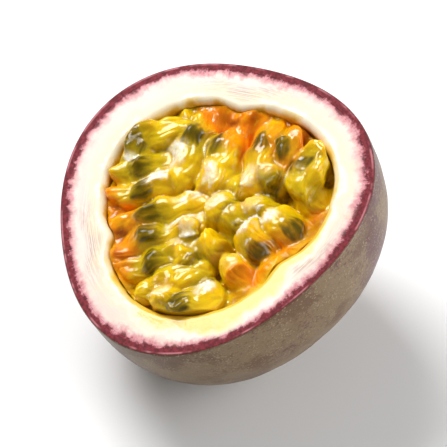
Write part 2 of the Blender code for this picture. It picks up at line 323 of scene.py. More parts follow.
def face_ring(inset, drop):
    """A ring of points on the cut face, moved in by inset and down by drop."""
    ring = wall_points(COLUMN_ANGLES, np.zeros(COLUMNS), inset)
    ring[:, 2] = -drop
    return ring


def skin_outer_rings():
    """The outside of the skin from the flower end up to the rounded edge of the cut."""
    turns = even_turns(SKIN_ROWS, SKIN_EDGE)[::-1]
    rings = wall_points(COLUMN_ANGLES[None, :], turns[:, None], 0.0)
    flat = rings.reshape(-1, 3)
    outward = flat * (1, 1, OUTWARD_HEIGHT)
    outward /= np.linalg.norm(outward, axis=1, keepdims=True)
    swell = SKIN_SWELL * noise_field(flat, SKIN_SWELL_SIZE, 2)
    dents = SKIN_DENTS * noise_field(flat, SKIN_DENTS_SIZE, 3)
    fade = smoothstep(0, SKIN_CALM, -flat[:, 2])
    flat += outward * ((swell + dents) * fade)[:, None]
    flat[:, 2] -= scar_relief(round_axis(flat)[1])
    return flat.reshape(rings.shape)


def tan_side(points):
    """1 on the side where the skin is olive-tan, falling to 0 on the purple side."""
    towards = points[..., 0] * math.cos(TAN_ANGLE) + points[..., 1] * math.sin(TAN_ANGLE)
    return 0.5 + 0.5 * towards / RIM_RADIUS


def make_skin():
    outer = skin_outer_rings()
    insets, drops = quarter_round(SKIN_EDGE, SKIN_EDGE_ROWS)
    across = np.linspace(SKIN_EDGE, SKIN_THICKNESS, SKIN_FACE_ROWS)[1:]
    edge = [face_ring(inset, drop) for inset, drop in zip(insets, drops)]
    face = [face_ring(inset, 0.0) for inset in across]
    turns = even_turns(SKIN_INNER_ROWS, HIDDEN_START)
    inner = wall_points(COLUMN_ANGLES[None, :], turns[:, None], SKIN_THICKNESS)
    rings = np.concatenate([outer, edge, face, inner])
    hidden = np.full(len(inner), SKIN_THICKNESS)
    inset = np.concatenate([np.zeros(len(outer)), insets, across, hidden])
    attributes = {
        "inset": np.repeat(inset[:, None], COLUMNS, axis=1) / MM,
        "tan": tan_side(rings),
        "scar": round_axis(rings)[1] / MM,
    }
    skin = ring_piece("fine_skin", rings, attributes)
    skin.data.materials.append(skin_material())
    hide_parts("skin")
    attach(skin, PIECE_BODY)


PITH_OUTER_ROWS = 16
PITH_FACE_ROWS = 40
PITH_LIP_ROWS = 14
PITH_WALL_ROWS = 50
WALL_START = 1.8 * LIP_RADIUS  # depth at which the rows of the cavity's wall start
LIP_WANDER = 0.28 * MM  # how far the lip strays from its even line
LIP_WANDER_SIZE = 0.3  # size of its waves, as a share of the radius
WALL_LUMPS = 0.18 * MM  # unevenness of the cavity's wall
WALL_LUMPS_SIZE = 1.6 * MM
WALL_LUMPS_RATE = 0.6  # how quickly it changes down the wall, as a share of round it
PLACENTA_SPREAD = 2.2 * RIDGE_SPREAD
FILM_ANGLE = math.radians(-18)  # where juice has run over the lip
FILM_SPREAD = math.radians(50)


def lumpy_wall(lip_inset):
    """Rings of the cavity's wall, from below the lip to the end."""
    turns = even_turns(PITH_WALL_ROWS, WALL_START)
    wall = wall_points(COLUMN_ANGLES[None, :], turns[:, None], lip_inset[None, :])
    flat = wall.reshape(-1, 3)
    lumps = WALL_LUMPS * noise_field(flat * (1, 1, WALL_LUMPS_RATE), WALL_LUMPS_SIZE, 3)
    inward = -flat * (1, 1, 0)
    inward /= np.linalg.norm(inward, axis=1, keepdims=True) + TINY
    return (flat + inward * lumps[:, None]).reshape(wall.shape)


def pith_rings():
    """Rings of the pith: its hidden outside, the cut face, the rounded lip and the cavity's wall.

    With them come two values for each point: its inset from the fruit's outside, and how far past
    the start of the lip it is, which is below 0 on the cut face.
    """
    angles = COLUMN_ANGLES
    circle = np.stack([np.cos(angles), np.sin(angles), 0 * angles], axis=-1)
    lip_inset = rind(angles) + LIP_WANDER * noise_field(circle, LIP_WANDER_SIZE, 3)
    turns = even_turns(PITH_OUTER_ROWS, HIDDEN_START)[::-1]
    outer = wall_points(angles[None, :], turns[:, None], SKIN_THICKNESS)
    top = []
    top_insets = []
    top_past = []
    for share in np.linspace(0, 1, PITH_FACE_ROWS):
        inset = SKIN_THICKNESS + share * (lip_inset - LIP_RADIUS - SKIN_THICKNESS)
        top.append(face_ring(inset, 0.0))
        top_insets.append(inset)
        top_past.append(inset - lip_inset + LIP_RADIUS)
    for bend in np.linspace(0, math.pi / 2, PITH_LIP_ROWS)[1:]:
        inset = lip_inset - LIP_RADIUS * (1 - math.sin(bend))
        top.append(face_ring(inset, LIP_RADIUS * (1 - math.cos(bend))))
        top_insets.append(inset)
        top_past.append(np.full(COLUMNS, LIP_RADIUS * bend))
    wall = lumpy_wall(lip_inset)
    insets = np.concatenate([
        np.full((len(outer), COLUMNS), SKIN_THICKNESS),
        top_insets,
        np.tile(lip_inset, (len(wall), 1)),
    ])
    past_lip = np.concatenate([
        np.full((len(outer), COLUMNS), -RIND_THICKNESS),
        top_past,
        LIP_RADIUS * (math.pi / 2 - 1) - wall[..., 2],
    ])
    return np.concatenate([outer, top, wall]), insets, past_lip


def make_pith():
    rings, insets, past_lip = pith_rings()
    attributes = {
        "inset": insets / MM,
        "past_lip": past_lip / MM,
        "placenta": np.tile(placenta_share(COLUMN_ANGLES), (len(rings), 1)),
        "film": np.tile(film_share(COLUMN_ANGLES), (len(rings), 1)),
    }
    pith = ring_piece("fine_pith", rings, attributes)
    pith.data.materials.append(pith_material())
    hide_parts("pith")
    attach(pith, PIECE_BODY)


def placenta_share(angle):
    """1 at a placenta, falling to 0 well to its sides."""
    return np.exp(-((off_placenta(angle) / PLACENTA_SPREAD) ** 2))


def share_round(angle, middle, spread):
    """1 at the middle angle, falling to 0 to both sides."""
    off = np.arctan2(np.sin(angle - middle), np.cos(angle - middle))
    return np.exp(-((off / spread) ** 2))


def film_share(angle):
    """1 where juice has run over the lip, and 0 elsewhere."""
    return share_round(angle, FILM_ANGLE, FILM_SPREAD)


# ---------------- pulp

def row_layout(row, placenta, draw):
    """The sacs of one row, which grow from round one placenta and lean away from it."""
    ahead = Vector((math.cos(placenta), math.sin(placenta), 0))
    sacs = []
    for i in range(row.count):
        shift, lift, size, further, twist, bow = draw.uniform(-1, 1, 6)
        offset = row.spread * ((2 * i + 1 + PLACE_JITTER * shift) / row.count - 1)
        angle = placenta + offset
        depth = row.root_depth + DEPTH_JITTER * lift
        out = row.share * float(cavity_radius(np.array(angle), -depth, LAYER_GAP))
        root = Vector((out * math.cos(angle), out * math.sin(angle), -depth))
        lean = (row.lean + LEAN_JITTER * further) * math.cos(offset)
        tip = root - ahead * lean
        tip.z = -row.tip_depth + DEPTH_JITTER * lift
        width = row.width * (1 + WIDTH_JITTER * size)
        sacs.append(Sac(root, tip, width, TWIST_JITTER * twist, BOW_JITTER * bow))
    return sacs


def sac_layout():
    """Every juice sac, fan by fan."""
    draw = np.random.RandomState(DRAW_SEED)
    sacs = []
    for number, fan in enumerate(FANS):
        for row in fan:
            sacs += row_layout(row, placenta_angle(number), draw)
    return sacs


SACS = sac_layout()
SAC_SIDES = 28
SAC_ROWS = 20
SEED_SIDES = 24
SEED_ROWS = 14
MASS_SIDES = 96
MASS_ROWS = 40
MASS_TOP_RINGS = (0.04, 0.3, 0.6, 0.75, 0.9)  # shares of the cavity's radius
MASS_EDGE_FROM = 0.5  # share of the radius from which the mass rises or falls to its edge
PULP_SMOOTHING = 0.5
PULP_SMOOTHING_ROUNDS = 10


def sac_frame(sac):
    """Rotation that lays z along the sac and y as near up as it goes, twisted a little."""
    along = (sac.tip - sac.root).normalized()
    side = along.cross(Vector((0, 0, 1))).normalized()
    up = side.cross(along)
    turned = Matrix((side, up, along)).transposed()
    return turned @ Matrix.Rotation(sac.twist, 3, "Z")


def sac_length(sac):
    return (sac.tip - sac.root).length + SAC_PAST_TIP * sac.width


def seed_place(sac):
    """Where the root end of a sac's seed is."""
    turned = sac_frame(sac)
    steepness = turned[2][2]
    share = LAID_SEED_PLACE + (UPRIGHT_SEED_PLACE - LAID_SEED_PLACE) * steepness
    along = share * (sac.tip - sac.root).length - SEED_BACK * SEED_LENGTH
    height = 0.5 * SAC_FLATNESS * sac.width + (0.5 - SEED_SINK) * SEED_THICKNESS
    return sac.root + turned @ Vector((sac.bow, height, along))


def egg_form(length, width, thickness, sides, rows, bow=0.0):
    """An egg along z from 0 to length, fuller towards the far end, bowed along x."""
    turn = (math.pi * np.arange(1, rows) / rows)[:, None]
    angle = (2 * math.pi * np.arange(sides) / sides)[None, :]
    girth = np.sin(turn) ** SAC_PLUMPNESS
    rings = np.stack([
        0.5 * width * girth * np.cos(angle) + bow * np.sin(turn),
        0.5 * thickness * girth * np.sin(angle),
        length * (0.5 - 0.5 * np.cos(turn)) ** SAC_FULL_END + 0 * angle,
    ], axis=-1)
    return closed_rings(rings, (0, 0, 0), (0, 0, length))


def placed(form, sac, place):
    """A form turned as the sac is, and moved to this place."""
    points, faces = form
    return points @ np.array(sac_frame(sac)).T + np.array(place), faces


def sac_form(sac):
    thickness = SAC_FLATNESS * sac.width
    form = egg_form(sac_length(sac), sac.width, thickness, SAC_SIDES, SAC_ROWS, sac.bow)
    return placed(form, sac, sac.root)


def seed_form(sac):
    form = egg_form(SEED_LENGTH, SEED_WIDTH, SEED_THICKNESS, SEED_SIDES, SEED_ROWS)
    return placed(form, sac, seed_place(sac))


def bank_share(angle):
    """1 at a placenta and 0 half way between two."""
    return 0.5 + 0.5 * np.cos(CARPELS * (angle - FIRST_PLACENTA))


def soft_mass_form():
    """The mass that the sacs grow from: it fills the pith and rises to each placenta."""
    angles = np.arange(MASS_SIDES) * 2 * math.pi / MASS_SIDES
    inset = rind(angles)
    edge = PULP_TOP - (PULP_TOP - BANK_TOP) * bank_share(angles)
    start = turn_at(-edge, inset)
    share = np.linspace(0, 1, MASS_ROWS, endpoint=False)[:, None]
    wall = wall_points(angles[None, :], start + (math.pi / 2 - start) * share, inset[None, :])
    top = []
    for out in MASS_TOP_RINGS:
        ring = wall[0] * (out, out, 1)
        ring[:, 2] = -(PULP_TOP + (edge - PULP_TOP) * smoothstep(MASS_EDGE_FROM, 1.0, out))
        top.append(ring)
    rings = np.concatenate([top, wall])
    end = -(HALF_LENGTH - RIND_THICKNESS)
    return closed_rings(rings, (0, 0, -PULP_TOP), (0, 0, end))


def joined_mesh(name, forms):
    """One mesh of several forms."""
    points = []
    faces = []
    for form_points, form_faces in forms:
        faces += [[i + len(points) for i in face] for face in form_faces]
        points += form_points.tolist()
    mesh = bpy.data.meshes.new(name)
    mesh.from_pydata(points, [], faces)
    return mesh


def modified_mesh(target):
    """The mesh of an object with its modifiers, which are taken off."""
    graph = bpy.context.evaluated_depsgraph_get()
    baked = bpy.data.meshes.new_from_object(target.evaluated_get(graph))
    target.modifiers.clear()
    return baked


def mesh_points(mesh, kind="co"):
    """The places of a mesh's vertices, or their normals, as rows of an array."""
    values = np.zeros(len(mesh.vertices) * 3)
    mesh.vertices.foreach_get(kind, values)
    return values.reshape(-1, 3)


def without_scraps(mesh):
    """The mesh's largest island alone: the others are scraps and sealed hollows."""
    form = bmesh.new()
    form.from_mesh(mesh)
    waiting = set(form.verts)
    islands = []
    while waiting:
        island = {waiting.pop()}
        edge_of_island = list(island)
        while edge_of_island:
            vertex = edge_of_island.pop()
            near = {edge.other_vert(vertex) for edge in vertex.link_edges} & waiting
            waiting -= near
            island |= near
            edge_of_island.extend(near)
        islands.append(island)
    islands.sort(key=len)
    for scrap in islands[:-1]:
        bmesh.ops.delete(form, geom=list(scrap), context="VERTS")
    form.to_mesh(mesh)
    form.free()
    return mesh


def blurred(mesh, values, rounds):
    """Values per vertex, each averaged with its neighbours' this many times."""
    ends = np.zeros(len(mesh.edges) * 2, dtype=int)
    mesh.edges.foreach_get("vertices", ends)
    ends = ends.reshape(-1, 2)
    count = np.bincount(ends.ravel(), minlength=len(values))[:, None]
    for _ in range(rounds):
        total = np.zeros_like(values)
        np.add.at(total, ends[:, 0], values[ends[:, 1]])
        np.add.at(total, ends[:, 1], values[ends[:, 0]])
        values = 0.5 * values + 0.5 * total / count
    return values


def pulp_skin(mesh):
    """The outer surface of the joined forms: evenly fine above, coarse where it is hidden."""
    source = add_object("source", mesh)
    remesh = source.modifiers.new("remesh", "REMESH")
    remesh.mode = "VOXEL"
    remesh.voxel_size = PULP_VOXEL
    smooth = source.modifiers.new("smooth", "SMOOTH")
    smooth.factor = PULP_SMOOTHING
    smooth.iterations = PULP_SMOOTHING_ROUNDS
    source.data = modified_mesh(source)
    hidden = source.vertex_groups.new(name="hidden")
    below = np.flatnonzero(mesh_points(source.data)[:, 2] < -HIDDEN_DEPTH)
    hidden.add(below.tolist(), 1.0, "REPLACE")
    coarse = source.modifiers.new("coarse", "DECIMATE")
    coarse.vertex_group = "hidden"
    coarse.ratio = 1 - (1 - HIDDEN_SHARE) * len(below) / len(source.data.vertices)
    skin = without_scraps(modified_mesh(source))
    bpy.data.objects.remove(source)
    return skin


def sac_nearness(points, sac):
    """How far out of a sac each point is (1 on its surface), its share along it, its place in it.

    The last is in the sac's own directions: across, up and along.
    """
    local = (points - np.array(sac.root)) @ np.array(sac_frame(sac))
    along = local[:, 2] / sac_length(sac)
    bare = np.sign(along) * np.abs(along) ** (1 / SAC_FULL_END)
    across_ends = 1 - 2 * bare
    bow = sac.bow * np.sqrt(np.clip(1 - across_ends**2, 0, 1))
    radial = np.hypot(
        (local[:, 0] - bow) / (0.5 * sac.width),
        local[:, 1] / (0.5 * SAC_FLATNESS * sac.width),
    )
    return radial ** (2 / SAC_PLUMPNESS) + across_ends**2, np.clip(along, 0, 1), local


def seed_nearness(points, sac):
    """How far out of a sac's seed each point is: 1 on its surface."""
    local = (points - np.array(seed_place(sac))) @ np.array(sac_frame(sac))
    local[:, 2] -= 0.5 * SEED_LENGTH
    half = 0.5 * np.array((SEED_WIDTH, SEED_THICKNESS, SEED_LENGTH))
    return np.linalg.norm(local / half, axis=1)


# Colours of the pulp
YELLOW = np.array((0.94, 0.56, 0.001))
OLIVE_YELLOW = np.array((0.66, 0.47, 0.002))
ORANGE = np.array((0.93, 0.25, 0.001))
ROOT_RED = np.array((0.26, 0.035, 0.002))
FILM_YELLOW = np.array((0.95, 0.60, 0.02))
# brown painted shade for the creases and hollows between the sacs
GAP_SHADE = np.array((0.34, 0.14, 0.003))
SEED_DARK = np.array((0.070, 0.050, 0.001))
SEED_HALO = np.array((0.30, 0.23, 0.002))
AMBER_ANGLE = math.radians(100)  # the side where the sacs are more orange
AMBER_SPREAD = math.radians(34)
SEEDS_SEEN = 0.7  # share of the seeds that lie close enough under their sac's skin to be seen
COLOUR_DRAW_SEED = DRAW_SEED + 1
TONE_BLUR = 10  # rounds of blending the colours of neighbouring sacs

# Patterns in the colours: their sizes, and where they are read in the noise, so that they differ
BLOTCH_SIZE = 4.0 * MM
PATCH_SIZE = 7.0 * MM
PATCH_PLACE = 0.1
SLIT_SIZE = 2.2 * MM  # size of the dark red slits between the roots of the sacs
SLIT_PLACE = 0.3
STREAK_SIZE = 0.7 * MM
GRAIN_STRETCH = 0.22  # how quickly streaks and folds change along a sac, as a share of across
GRAIN_SHIFT = 0.1  # most that one sac's streaks are read away from another's

# Painted highlights on the sacs: pale patches on the raised side of each, facing up and towards one
# fixed side
GLOSS_DRAW_SEED = DRAW_SEED + 2
GLOSS_ANGLE = math.radians(194)  # the side towards which the patches face
GLOSS_SIZE = 1.4 * MM  # size of the unevenness of their outlines
GLOSS_UNEVENNESS = 0.10
GLOSS_EDGE = 0.13  # width of their soft edge, as a change of the facing share

# Relief of the pulp
PULP_WARP = 0.9 * MM  # how far the sacs are pushed out of their even shape
PULP_WARP_SIZE = 3.6 * MM
PULP_LUMPS = 0.20 * MM
PULP_LUMPS_SIZE = 2.2 * MM
MASS_LUMPS = 0.45 * MM  # the bare soft mass is lumpier
MASS_LUMPS_SIZE = 2.8 * MM
MASS_LUMPS_PLACE = 1.0
PULP_FOLDS = 0.13 * MM  # depth of the lengthwise folds in the skin of a sac
PULP_FOLDS_SIZE = 1.7 * MM
FOLD_WIDTH = 0.35  # of a fold, in its noise
PULP_EDGE_GAP = 0.12 * MM  # clearance of the pulp to the pith
EDGE_FROM = 0.80  # share of the cavity's radius from which the pulp creeps up its wall
EDGE_LIFT = 1.9 * MM  # how far it creeps up
EDGE_PUSH = 0.5 * MM  # how far it is pressed against the wall
SHOWN_FROM = 12.0 * MM  # the relief fades in between these depths, as nobody sees below them
SHOWN_TO = 8.0 * MM

Nearness = namedtuple("Nearness", "sac second seed owner along grain green")
Patch = namedtuple("Patch", "facing middle reach least_facing strength")


def mixed(first, second, share):
    share = np.asarray(share)[:, None]
    return first * (1 - share) + second * share


def among_sacs(points):
    """For each point, how far out it is of its nearest sac, of the second nearest and of the
    nearest seed that shows, and that sac's number, the share along it, its grain and its green.
    """
    draw = np.random.RandomState(COLOUR_DRAW_SEED)
    nearest = np.full(len(points), np.inf)
    second = np.full(len(points), np.inf)
    seed = np.full(len(points), np.inf)
    owner = np.zeros(len(points), dtype=int)
    along = np.zeros(len(points))
    grain = np.zeros((len(points), 3))
    green = np.zeros(len(points))
    for number, sac in enumerate(SACS):
        near, place, local = sac_nearness(points, sac)
        sac_green, seen = draw.uniform(0, 1, 2)
        won = near < nearest
        second = np.where(won, nearest, np.minimum(second, near))
        nearest = np.where(won, near, nearest)
        owner[won] = number
        along[won] = place[won]
        grain[won] = local[won] * (1, 1, GRAIN_STRETCH) + GRAIN_SHIFT * sac_green
        green[won] = sac_green
        if seen < SEEDS_SEEN:
            seed = np.minimum(seed, seed_nearness(points, sac))
    return Nearness(nearest, second, seed, owner, along, grain, green)


def pulp_colour(points, near, streak, mass):
    """The pulp's colour before its seeds: yellow sacs, orange by the placentae, and brown painted
    shade in the creases and hollows between sacs.
    """
    blotch = noise_field(points, BLOTCH_SIZE, 3)
    patch = noise_field(points + PATCH_PLACE, PATCH_SIZE, 2)
    angle, radius = round_axis(points)
    outward = radius / cavity_radius(angle, 0 * radius)
    olive = np.clip(0.18 + 0.65 * near.green + 0.6 * blotch, 0, 1)
    colour = mixed(YELLOW, OLIVE_YELLOW, olive)
    bank = bank_share(angle) * smoothstep(0.30, 1.0, outward)
    amber = share_round(angle, AMBER_ANGLE, AMBER_SPREAD) * smoothstep(0.2, 0.7, outward)
    warm = np.maximum(bank, 0.8 * amber)
    orange = smoothstep(0.36, 0.80, warm + 0.45 * patch + 0.25 * blotch + 0.15 * streak)
    colour = mixed(colour, ORANGE, 0.9 * orange)
    # painted shade in the creases where two sacs meet
    crease = smoothstep(0.45, 0.0, near.second - near.sac)
    colour = mixed(colour, GAP_SHADE, 0.5 * crease)
    film = film_share(angle) * smoothstep(0.90, 0.96, outward)
    colour = mixed(colour, FILM_YELLOW, 0.85 * film)
    at_root = smoothstep(0.80, 0.90, outward) * placenta_share(angle) * (1 - film_share(angle))
    slits = smoothstep(0.10, 0.36, noise_field(points + SLIT_PLACE, SLIT_SIZE, 2))
    colour = mixed(colour, ROOT_RED, 0.95 * at_root * slits)
    # painted shade in the hollows where the soft mass shows between sacs, except by the placentae
    hollow = mass * (1 - smoothstep(0.55, 0.8, bank))
    return mixed(colour, GAP_SHADE, 0.7 * hollow)


def painted_highlight_patch(sac, draw):
    """The painted highlight of one sac, a pale patch: where it faces, and its middle and reach
    along the sac.

    It is longer and wider on an upright sac.
    """
    lean, side, middle, strength = draw.uniform(0, 1, 4)
    axis = (sac.tip - sac.root).normalized()
    upright = float(smoothstep(0.35, 0.75, axis.z))
    sideways = Vector((math.cos(GLOSS_ANGLE), math.sin(GLOSS_ANGLE), 0)) * (0.15 + 0.45 * side)
    facing = (Vector((0, 0, 1)) + sideways + axis * (0.2 + 0.4 * lean)).normalized()
    reach = 0.22 + 0.25 * upright
    least_facing = 0.87 - 0.13 * upright
    strength = float(smoothstep(0.35, 0.65, strength))
    return Patch(facing, 0.5 + 0.4 * middle, reach, least_facing, strength)


def painted_highlights(points, normals, near, mass):
    """1 on the painted highlight: a pale patch that most of the sacs have on their raised side,
    facing up and towards one fixed side.
    """
    draw = np.random.RandomState(GLOSS_DRAW_SEED)
    patches = [painted_highlight_patch(sac, draw) for sac in SACS]
    directions = np.array([patch.facing for patch in patches])
    facing = np.sum(normals * directions[near.owner], axis=1)
    facing += GLOSS_UNEVENNESS * noise_field(points, GLOSS_SIZE, 3)
    middle, reach, least_facing, strength = np.array([patch[1:] for patch in patches])[near.owner].T
    near_middle = smoothstep(1.0, 0.4, np.abs(near.along - middle) / reach)
    on_patch = smoothstep(0.0, 1.0, (facing - least_facing) / GLOSS_EDGE)
    return on_patch * near_middle * strength * (1 - mass)


def pulp_traits(points, normals):
    """What the pulp's material and relief read at each point."""
    near = among_sacs(points)
    streak = noise_field(near.grain, STREAK_SIZE, 3)
    mass = smoothstep(1.15, 1.6, near.sac)
    return {
        "tone": pulp_colour(points, near, streak, mass),
        "grain": near.grain,
        "halo": smoothstep(2.0, 1.0, near.seed),
        "seed": smoothstep(1.10, 0.93, near.seed + 0.07 * streak),
        "mass": mass,
        # pale: the painted highlight on the raised sides of the sacs
        "pale": painted_highlights(points, normals, near, mass),
    }


def wall_limit(points):
    """How far from the fruit's axis the pulp may reach at each point, just short of the pith."""
    angle = round_axis(points)[0]
    rise = np.clip(1 + points[:, 2] / LIP_RADIUS, 0, 1)
    lip_opens = LIP_RADIUS * (1 - np.sqrt(1 - rise**2))
    return cavity_radius(angle, np.minimum(points[:, 2], 0)) + lip_opens - PULP_EDGE_GAP


def with_relief(points, normals, traits):
    """The pulp's points with lumps, folds and warps, and its edge drawn up along the wall."""
    angle = round_axis(points)[0]
    limit = wall_limit(points)
    shown = smoothstep(-SHOWN_FROM, -SHOWN_TO, points[:, 2])
    lumps = PULP_LUMPS * noise_field(points, PULP_LUMPS_SIZE, 2)
    bare = noise_field(points + MASS_LUMPS_PLACE, MASS_LUMPS_SIZE, 2)
    lumps += MASS_LUMPS * bare * traits["mass"]
    fold = np.abs(noise_field(traits["grain"], PULP_FOLDS_SIZE, 2))
    folds = -PULP_FOLDS * smoothstep(FOLD_WIDTH, 0.0, fold) * (1 - 0.8 * traits["seed"])
    warp = PULP_WARP * noise_vectors(points, PULP_WARP_SIZE)
    moved = points + (normals * (lumps + folds)[:, None] + warp) * shown[:, None]
    radius = round_axis(moved)[1]
    at_edge = smoothstep(EDGE_FROM, 1.0, radius / cavity_radius(angle, 0 * radius)) * shown
    moved[:, 2] += EDGE_LIFT * at_edge * (1 - bank_share(angle))
    wanted = np.maximum(radius + EDGE_PUSH * at_edge, MM)
    moved[:, :2] *= (np.minimum(wanted, limit) / np.maximum(radius, MM))[:, None]
    return moved


def make_pulp():
    forms = [soft_mass_form()]
    for sac in SACS:
        forms.append(sac_form(sac))
        forms.append(seed_form(sac))
    mesh = pulp_skin(joined_mesh("pulp_forms", forms))
    mesh.name = "fine_pulp"
    points = mesh_points(mesh)
    normals = mesh_points(mesh, "normal")
    traits = pulp_traits(points, normals)
    points = with_relief(points, normals, traits)
    mesh.vertices.foreach_set("co", tilted_points(points).ravel())
    tone = blurred(mesh, traits["tone"], TONE_BLUR)
    tone = mixed(tone, SEED_HALO, 0.45 * traits["halo"])
    tone = mixed(tone, SEED_DARK, 0.95 * traits["seed"])
    tone = np.concatenate([tone, np.ones((len(points), 1))], axis=1)
    store(mesh, "tone", tone, "FLOAT_COLOR")
    store(mesh, "grain", traits["grain"] / MM, "FLOAT_VECTOR")
    for name in ("seed", "mass", "pale"):
        store(mesh, name, traits[name])
    mesh.shade_smooth()
    mesh.update()
    pulp = add_object("fine_pulp", mesh)
    pulp.data.materials.append(pulp_material())
    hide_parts("pulp")
    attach(pulp, PIECE_BODY)


# ---------------- materials

class Shader:
    """Short notation for the nodes of one material."""

    def __init__(self, name, **settings):
        self.material = bpy.data.materials.new(name)
        self.material.use_nodes = True
        self.tree = self.material.node_tree
        self.principled = self.tree.nodes["Principled BSDF"]
        for socket, value in settings.items():
            self.principled.inputs[socket.replace("_", " ")].default_value = value

    def put(self, socket, value):
        """Links another node's output to the socket, or sets it to a value or an RGB colour."""
        if isinstance(value, bpy.types.NodeSocket):
            self.tree.links.new(value, socket)
        elif hasattr(socket.default_value, "__len__") and len(value) != len(socket.default_value):
            socket.default_value = (*value, 1)
        else:
            socket.default_value = value

    def node(self, kind, inputs, output=0, **settings):
        made = self.tree.nodes.new(kind)
        for key, value in settings.items():
            setattr(made, key, value)
        for socket, value in inputs.items():
            self.put(made.inputs[socket], value)
        return made.outputs[output]

    def attribute(self, name, output="Fac"):
        return self.node("ShaderNodeAttribute", {}, output, attribute_name=name)

    def place(self):
        return self.node("ShaderNodeTexCoord", {}, "Object")

    def noise(self, vector, scale, detail=3.0, roughness=0.5):
        inputs = {"Vector": vector, "Scale": scale, "Detail": detail, "Roughness": roughness}
        return self.node("ShaderNodeTexNoise", inputs, "Fac")

    def cells(self, vector, scale):
        """Distance from the middle of the nearest of many cells."""
        return self.node("ShaderNodeTexVoronoi", {"Vector": vector, "Scale": scale}, "Distance")

    def math(self, operation, first, second):
        return self.node("ShaderNodeMath", {0: first, 1: second}, operation=operation)

    def plus(self, first, second):
        return self.math("ADD", first, second)

    def minus(self, first, second):
        return self.math("SUBTRACT", first, second)

    def times(self, first, second):
        return self.math("MULTIPLY", first, second)

    def steps(self, value, low, high, to_low=0.0, to_high=1.0):
        """A smooth step, from to_low where value is at low to to_high where it is at high."""
        inputs = {"Value": value, "From Min": low, "From Max": high}
        inputs |= {"To Min": to_low, "To Max": to_high}
        return self.node("ShaderNodeMapRange", inputs, interpolation_type="SMOOTHSTEP")

    def mix(self, share, first, second):
        """The first colour with this share of the second."""
        return self.node("ShaderNodeMix", {0: share, 6: first, 7: second}, 2, data_type="RGBA")

    def bump(self, height, distance, strength=1.0, normal=None):
        inputs = {"Height": height, "Distance": distance, "Strength": strength}
        if normal is not None:
            inputs["Normal"] = normal
        return self.node("ShaderNodeBump", inputs)

    def finish(self, **sockets):
        """Connects what is left of the surface and gives the material."""
        for socket, value in sockets.items():
            self.put(self.principled.inputs[socket.replace("_", " ")], value)
        return self.material


CUT_MAGENTA = (0.24, 0.021, 0.034)
CUT_CRIMSON = (0.11, 0.010, 0.014)
CUT_PINK = (0.70, 0.27, 0.30)
PITH_WHITE = (0.86, 0.77, 0.68)
PITH_BLUSH = (0.86, 0.67, 0.60)
PITH_CREAM = (0.88, 0.77, 0.50)
PITH_STRAND = (0.52, 0.30, 0.26)
JUICE_YELLOW = (0.86, 0.55, 0.03)
# olive on the cavity's wall below the lip: partly juice on the wall, partly painted shade
WALL_JUICE_AND_SHADE = (0.60, 0.35, 0.03)
SKIN_PURPLE = (0.090, 0.028, 0.030)
SKIN_BROWN = (0.130, 0.055, 0.038)
SKIN_OLIVE = (0.205, 0.140, 0.075)
SKIN_TAN = (0.130, 0.070, 0.033)
SKIN_SPECK = (0.34, 0.26, 0.155)
SCAR_RING = (0.22, 0.16, 0.08)
SCAR_BROWN = (0.10, 0.055, 0.03)
STREAK_PALE = (0.97, 0.66, 0.03)
STREAK_DEEP = (0.46, 0.22, 0.002)
# cream-white of the painted highlights on the sacs
PAINTED_HIGHLIGHT = (0.97, 0.93, 0.80)
FLOOR_GREY = (0.88, 0.88, 0.88)
FLOOR_WHITE = (0.92, 0.92, 0.92)

# Scales of the noises, as lumps per metre
RIM_DABS = 500.0
RIM_GRAIN = 1700.0
SKIN_CLOUDS = 75.0
SKIN_PATCHES = 130.0
SKIN_GRAIN = 1500.0
SKIN_SPECKS = 1900.0
SKIN_SPECK_GROUPS = 420.0
PITH_CLOUDS = 240.0
PITH_BLUSHES = 130.0
PITH_SPONGE = 1500.0
PULP_MOTTLE = 1100.0
PULP_CRINKLY_PATCHES = 330.0
PULP_CRINKLES = 750.0
FLOOR_CLOUDS = 6.0
FLOOR_GRAIN = 900.0

# The same as lumps per radian round the fruit, or per mm across the fibres
RIM_TEETH = 8.0
RIM_SWING = 2.4
RIM_BREAKS = 5.0
PITH_STRANDS = 2.6
PULP_STREAKS = 2.2

# Depths of the bumps, and how far and in which colours light travels inside
SKIN_PORE_DEPTH = 0.04 * MM
SKIN_SPECK_DEPTH = 0.03 * MM
PITH_SPONGE_DEPTH = 0.06 * MM
PULP_CRINKLE_DEPTH = 0.14 * MM
FLOOR_GRAIN_DEPTH = 0.02 * MM
PITH_SCATTER = 1.2 * MM
PITH_SCATTER_COLOUR = (1.0, 0.75, 0.55)
PULP_SCATTER = 1.6 * MM
PULP_SCATTER_COLOUR = (1.0, 0.6, 0.12)


def rim_colour(shader):
    """Colour of the cut rind from its outer edge inwards: crimson, dabs of pink, then white."""
    inset = shader.attribute("inset")
    around = shader.attribute("around", "Vector")
    place = shader.place()
    teeth = shader.noise(around, RIM_TEETH, 7.0, 0.8)
    dabs = shader.noise(place, RIM_DABS, 4.0, 0.7)
    swing = shader.noise(around, RIM_SWING, 2.0)
    depth = shader.plus(inset, shader.steps(teeth, 0.25, 0.75, 0.45, -0.45))
    depth = shader.plus(depth, shader.steps(dabs, 0.3, 0.7, 0.55, -0.55))
    depth = shader.plus(depth, shader.steps(swing, 0.3, 0.7, 0.30, -0.30))
    grain = shader.noise(place, RIM_GRAIN, 3.0, 0.6)
    dark = shader.mix(shader.steps(grain, 0.35, 0.65), CUT_CRIMSON, CUT_MAGENTA)
    line = shader.times(shader.steps(inset, 0.12, 0.30), shader.steps(inset, 0.62, 0.42))
    breaks = shader.steps(shader.noise(around, RIM_BREAKS, 3.0), 0.46, 0.58, 0.0, 0.6)
    dark = shader.mix(shader.times(line, breaks), dark, CUT_PINK)
    colour = shader.mix(shader.steps(depth, 1.35, 2.05), dark, CUT_PINK)
    return shader.mix(shader.steps(depth, 1.85, 3.4), colour, PITH_WHITE)


